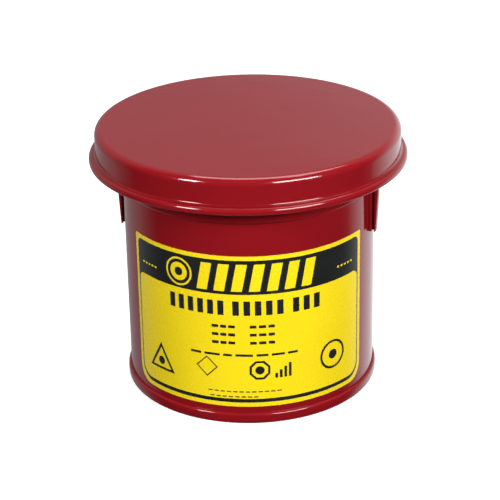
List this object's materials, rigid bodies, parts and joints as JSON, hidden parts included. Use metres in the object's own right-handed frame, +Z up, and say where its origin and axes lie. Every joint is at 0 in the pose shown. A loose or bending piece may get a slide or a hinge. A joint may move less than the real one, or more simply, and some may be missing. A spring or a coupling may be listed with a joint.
{
  "type": "safety gas can",
  "caption": "Small round safety can for solvent, with a lift-off cover, a flared drain pan and a spring-loaded perforated plunger plate.",
  "frame": {"origin": "centre of the base, on the surface the can stands on", "axes": "+Z up along the can's axis, -Y towards the label, +X to the right of the label"},
  "size_m": [0.1524, 0.1524, 0.1294],
  "materials": {
    "red_powder_coat": "gloss",
    "label_film": "gloss",
    "bare_steel": "satin",
    "spring_steel": "satin",
    "plated_screw": "gloss",
    "brass_bush": "satin"
  },
  "bodies": {
    "can": {"body_shell": "red_powder_coat", "side_seam": "red_powder_coat", "base_pan": "red_powder_coat", "base_seam": "red_powder_coat", "top_seam": "red_powder_coat", "drain_pan": "red_powder_coat", "pan_rim": "red_powder_coat", "lug_right": "red_powder_coat", "lug_left": "red_powder_coat", "spring_cup": "bare_steel", "guide_tube": "bare_steel", "guide_bush": "brass_bush", "front_label": "label_film"},
    "plunger": {"dasher_plate": "bare_steel", "dasher_rim": "bare_steel", "dasher_boss": "bare_steel", "dasher_stem": "bare_steel", "stem_screw": "plated_screw", "stem_collar": "bare_steel", "return_spring": "spring_steel"},
    "cover": {"lid_shell": "red_powder_coat", "lid_hem": "red_powder_coat"}
  },
  "joints": [
    {"name": "plunger_press", "type": "slide", "parent": "can", "child": "plunger", "axis": [0, 0, 1], "range_m": [-0.028, 0], "stiffness_N_per_m": 180, "springref_m": 0.02, "deforming": ["return_spring"]},
    {"name": "cover_lift", "type": "slide", "parent": "can", "child": "cover", "axis": [0, 0, 1], "range_m": [0, 0.06]}
  ]
}
